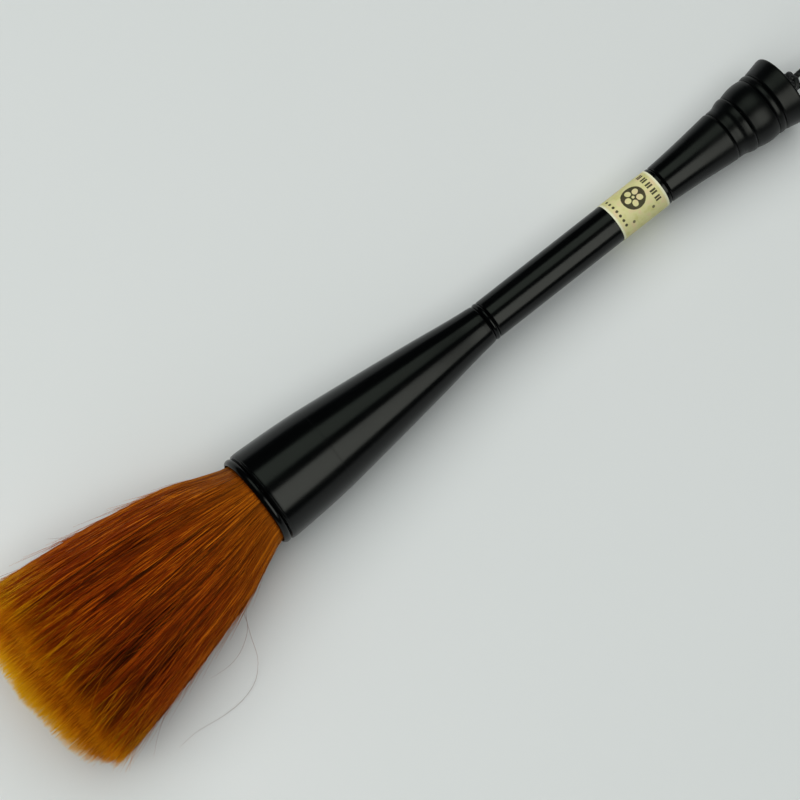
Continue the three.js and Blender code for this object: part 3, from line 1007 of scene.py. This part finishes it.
def inner_ends(random):
    """The ends of the inner hairs, which show at the cut end."""
    start = random.uniform(0, 2 * math.pi, INNER_HAIRS)
    rho = 0.95 * np.sqrt(random.uniform(0, 1, INNER_HAIRS))
    tip = tip_of(rho, start) - np.abs(random.normal(0, 0.0024, INNER_HAIRS))
    t = np.linspace(0, 1, INNER_POINTS)[None, :]
    x = INNER_START + (tip[:, None] - INNER_START) * t
    angle = start[:, None] + random.normal(0, 0.03, INNER_HAIRS)[:, None] * t
    reach = rho[:, None] * (1 + random.normal(0, 0.03, INNER_HAIRS)[:, None] * t)
    # Painted light: the ends are lighter to +Y and darker to -Y, as the light falls.
    tone = random.normal(0.46, 0.17, INNER_HAIRS)[:, None] + 0.12 * np.cos(angle)
    return angle, reach, x, tone


def hair_piece(name, random, angle, reach, x, tone, material):
    """One piece of hair from where its hairs run."""
    hairs, points = x.shape
    t = np.linspace(0, 1, points)[None, :]
    taper = np.interp(t, [0, 0.05, 0.75, 1], [0.8, 1.0, 0.9, 0.2])
    radius = HAIR_RADIUS * random.uniform(0.7, 1.3, hairs)[:, None] * taper
    along = (x + (TUFT_LENGTH - x[:, -1:]) * 0.6 * t ** 8) / TUFT_LENGTH  # shorter hairs end nearly as golden
    return hair_tubes(name, section(x, reach, angle), radius, np.clip(tone, 0.02, 0.98),
                      np.clip(along, 0.002, 0.998), material)


def golden_sides_and_painted_light(angle, x):
    """The sides are more golden. Painted light also lightens the side to +Y and painted shade darkens the
    side to -Y, most near the tip.
    """
    aside = np.cos(angle)
    near_tip = np.clip((x - 0.064) / 0.04, 0, 1)
    return 0.26 * np.abs(aside) ** 6 + 0.12 * np.abs(aside) ** 24 + (0.05 + 0.18 * near_tip) * aside


def head_of_hair():
    random = np.random.default_rng(HAIR_SEED)
    material = hair_material()
    strands = strand_hairs(random)
    under = under_hairs(random)
    angle, reach, x, tone = (np.vstack(both) for both in zip(strands, under))
    # Golden sides, with painted light to +Y and painted shade to -Y.
    tone = tone + golden_sides_and_painted_light(angle, x)
    lock = (angle[:, 0] % (2 * math.pi) * LOCKS / (2 * math.pi)).astype(int)
    for number in range(LOCKS):
        mine = lock == number
        name = f"hair_lock_{number + 1}"
        piece = hair_piece(name, random, angle[mine], reach[mine], x[mine], tone[mine], material)
        belongs(piece, "outer_hair", "hair_mantle")
    piece = hair_piece("inner_hair_ends", random, *inner_ends(random), material)
    belongs(piece, "inner_hair", "hair_mantle")
    return random, material


def hair_bundle():
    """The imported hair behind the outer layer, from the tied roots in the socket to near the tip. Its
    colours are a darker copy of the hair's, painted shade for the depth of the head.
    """
    s = Shader("inner_hair", Roughness=0.6, Specular_IOR_Level=0.3)
    place = s.place()
    strands = s.noise(s.stretched(place, (55, 4200, 4200)), 1.0, detail=3)
    clumps = s.noise(s.stretched(place, (22, 800, 800)), 1.0, detail=3)
    # Painted shade: the bundle's browns are darker than the outer hair's, for the shade inside the head.
    s.set("Base Color", s.mix(
        clumps,
        s.ramp(strands, (0.3, colour(34, 11, 3)), (0.7, colour(92, 38, 8))),
        s.ramp(strands, (0.3, colour(64, 24, 5)), (0.7, colour(124, 60, 14)))))
    s.set("Normal", s.bump(strands, 0.00025))
    sides = 260
    angle = np.linspace(0, 2 * math.pi, sides, endpoint=False)
    groove = 0.010 * np.sin(47 * angle) + 0.008 * np.sin(83 * angle + 1.3) + 0.008 * np.sin(29 * angle + 2)
    rings = []
    root = [(0.0240, 0.0152), (0.0238, 0.0162), (0.0222, 0.0162), (0.0217, 0.0153), (0.0173, 0.0153),
            (0.0168, 0.0163), (0.0090, 0.0163), (0.0070, 0.0150)]
    for x, radius in root:
        grooved = radius * (1 + 0.3 * groove)
        rings.append(np.stack([0 * angle + x, grooved * np.cos(angle), grooved * np.sin(angle)], axis=1))
    for x in np.linspace(-0.004, 0.088, 60):
        width = np.interp(x, [-0.004, 0.01, 0.088], [0.93, 0.90, 0.87])
        rings.append(section(x, width * (1 + groove), angle))
    for x, width in ((0.0895, 0.80), (0.0905, 0.66), (0.0910, 0.45)):
        rings.append(section(x, width * (1 + groove), angle))
    rows = len(rings)
    vertices = np.concatenate(rings)
    ends = [np.arange(sides)[None, ::-1], (np.arange(sides) + (rows - 1) * sides)[None, :]]
    piece = new_piece("hair_bundle", to_world(vertices), [grid_faces(rows, sides), *ends], s.material)
    face_outwards(piece)
    return belongs(piece, "inner_hair", "hair_core")


STRAYS = [  # loose hairs: routes in handle coordinates, with the height above the table
    [(-0.050, 0.0275, 0.019), (-0.0564, 0.0300, 0.018), (-0.0605, 0.0345, 0.014), (-0.0650, 0.0385, 0.011)],
    [(-0.020, -0.0215, 0.014), (-0.0265, -0.0268, 0.011), (-0.0282, -0.0310, 0.008),
     (-0.0318, -0.0342, 0.005), (-0.0370, -0.0367, 0.003), (-0.0424, -0.0374, 0.0015),
     (-0.0496, -0.0366, 0.0006)],
    [(-0.020, -0.0220, 0.012), (-0.0265, -0.0280, 0.010), (-0.0294, -0.0340, 0.006),
     (-0.0325, -0.0420, 0.003), (-0.0380, -0.0475, 0.0012), (-0.0460, -0.0500, 0.0006),
     (-0.0550, -0.0500, 0.0005), (-0.0660, -0.0485, 0.0005), (-0.0740, -0.0490, 0.0005)],
    [(-0.060, -0.0300, 0.013), (-0.0700, -0.0370, 0.009), (-0.0780, -0.0420, 0.005),
     (-0.0830, -0.0460, 0.003)],
    [(-0.075, 0.0320, 0.020), (-0.0860, 0.0365, 0.017), (-0.0960, 0.0392, 0.014)],
]
FUZZ = 1200  # how many short loose hairs there are
STRAY_RADIUS = 0.00006


def stray_hairs(random, material):
    """The loose hairs, and short fuzz that leaves the sides and the top at small angles."""
    points = 24
    lines = []
    for route in STRAYS:
        line = evenly(curve_through(route, 12), points)
        line[:, 2] -= table_below(line[:, 0])
        lines.append(line)
    theta = np.where(
        random.uniform(0, 1, FUZZ) < 0.5,
        random.uniform(-0.6, math.pi + 0.6, FUZZ),
        random.choice([0.0, math.pi], FUZZ) + random.normal(0, 0.28, FUZZ))
    begin = random.uniform(0.0, 0.086, FUZZ)
    length = random.uniform(0.014, 0.042, FUZZ)
    lift = np.minimum(random.exponential(0.036, FUZZ), 0.12)
    slip = random.normal(0, 0.11, FUZZ)
    t = np.linspace(0, 1, points)[None, :]
    furthest = tip_of(np.full(FUZZ, 0.97), theta) + random.uniform(-0.002, 0.0015, FUZZ)
    end = np.minimum(begin + length, furthest)
    x = begin[:, None] + (end - begin)[:, None] * t
    fuzz_lines = section(x, 0.985 + lift[:, None] * t ** 1.5, theta[:, None] + slip[:, None] * t)
    lines = np.concatenate([np.array(lines), fuzz_lines])
    count = len(lines)
    taper = np.interp(t, [0, 0.1, 0.6, 1], [0.7, 1.0, 0.8, 0.25])
    thick = np.concatenate([np.full(len(STRAYS), STRAY_RADIUS), random.uniform(0.00004, 0.0001, FUZZ)])
    tone = np.concatenate([np.full(len(STRAYS), 0.35), random.uniform(0.8, 0.98, FUZZ)])[:, None]
    along = np.clip(-lines[:, :, 0] / TUFT_LENGTH, 0.002, 0.998)
    tone = tone + np.zeros((count, points))
    piece = hair_tubes("stray_hairs", lines, thick[:, None] * taper, tone, along, material)
    belongs(piece, "outer_hair")


stray_hairs(*head_of_hair())
hair_bundle()

# --------------------------------------- pieces kept from the CAD


def finish_node(node, material):
    """Gives a node of the frame its material."""
    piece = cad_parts[node]
    piece.data.materials.clear()
    piece.data.materials.append(material)


for leg in ("cord_end_left", "cord_end_right"):
    finish_node(leg, CORD)
BAMBOO = bamboo_material()
finish_node("cord_peg", BAMBOO)
finish_node("tail_dowel", BAMBOO)
finish_node("root_binding", thread_material())
finish_node("root_seal", resin_material())
finish_node("socket_glue", glue_material())

# ----------------------------------------------- table and light

TABLE_SIZE = 6.0
TABLE_GREY = colour(226, 231, 229)
ROOM_LIGHT = (0.026, 0.033, 0.038, 1)  # the dim light of the room
BACKDROP = colour(186, 191, 188)  # what the camera sees past the table


def table():
    """A plain pale table."""
    s = Shader("table", Roughness=0.85, Specular_IOR_Level=0.2)
    place = s.place()
    mottle = s.noise(place, 9, detail=3)
    s.set("Base Color", s.mix(mottle, TABLE_GREY, colour(228, 232, 231)))
    half = TABLE_SIZE / 2
    corners = [(-half, -half, 0), (half, -half, 0), (half, half, 0), (-half, half, 0)]
    piece = new_piece("table", corners, [np.array([[0, 1, 2, 3]])], s.material)


def softbox(name, side, low, high, distance, middle_x, length, brightness, tint, shines):
    """A rectangular light that fills these heights in degrees, seen from the table at middle_x, on the side
    that the level direction points to. One that shines shows in gloss only, and one that doesn't lights
    without a reflection."""
    tilt = math.radians((low + high) / 2)
    width = 2 * distance * math.tan(math.radians(high - low) / 2)
    data = bpy.data.lights.new(name, "AREA")
    data.shape = "RECTANGLE"
    data.size = length
    data.size_y = width
    data.energy = math.pi * length * width * brightness
    data.color = tint
    lamp = bpy.data.objects.new(name, data)
    bpy.context.scene.collection.objects.link(lamp)
    towards = Vector((side[0] * math.cos(tilt), side[1] * math.cos(tilt), math.sin(tilt)))
    lamp.location = Vector((middle_x, 0, 0)) + towards * distance
    lamp.rotation_euler = towards.to_track_quat("Z", "Y").to_euler()
    lamp.visible_glossy = shines
    lamp.visible_diffuse = not shines


def lights():
    softbox("key", (0, -1), 22, 72, 1.2, 0.25, 0.85, 2.3, (0.97, 1.0, 0.91), shines=True)
    softbox("second", (0, 1), 47, 85, 1.2, 0.25, 0.85, 1.12, (0.88, 1.0, 0.86), shines=True)
    softbox("overhead", (0, 1), 40, 125, 1.8, 0.45, 3.2, 1.05, (1.0, 0.99, 0.98), shines=False)
    softbox("fill", (-1, 0), 10, 50, 1.8, 0.29, 2.0, 1.3, (1.0, 1.0, 0.98), shines=False)
    world = bpy.data.worlds.new("world")
    bpy.context.scene.world = world
    world.use_nodes = True
    tree = world.node_tree
    seen = tree.nodes.new("ShaderNodeLightPath").outputs["Is Camera Ray"]
    both = tree.nodes.new("ShaderNodeMix")
    both.data_type = "RGBA"
    both.inputs[6].default_value = ROOM_LIGHT
    both.inputs[7].default_value = BACKDROP
    tree.links.new(seen, both.inputs[0])
    tree.links.new(both.outputs[2], tree.nodes["Background"].inputs["Color"])
    tree.nodes["Background"].inputs["Strength"].default_value = 1.0
    bpy.context.scene.view_settings.view_transform = "Standard"
    bpy.context.scene.view_settings.look = "Medium High Contrast"


table()
lights()
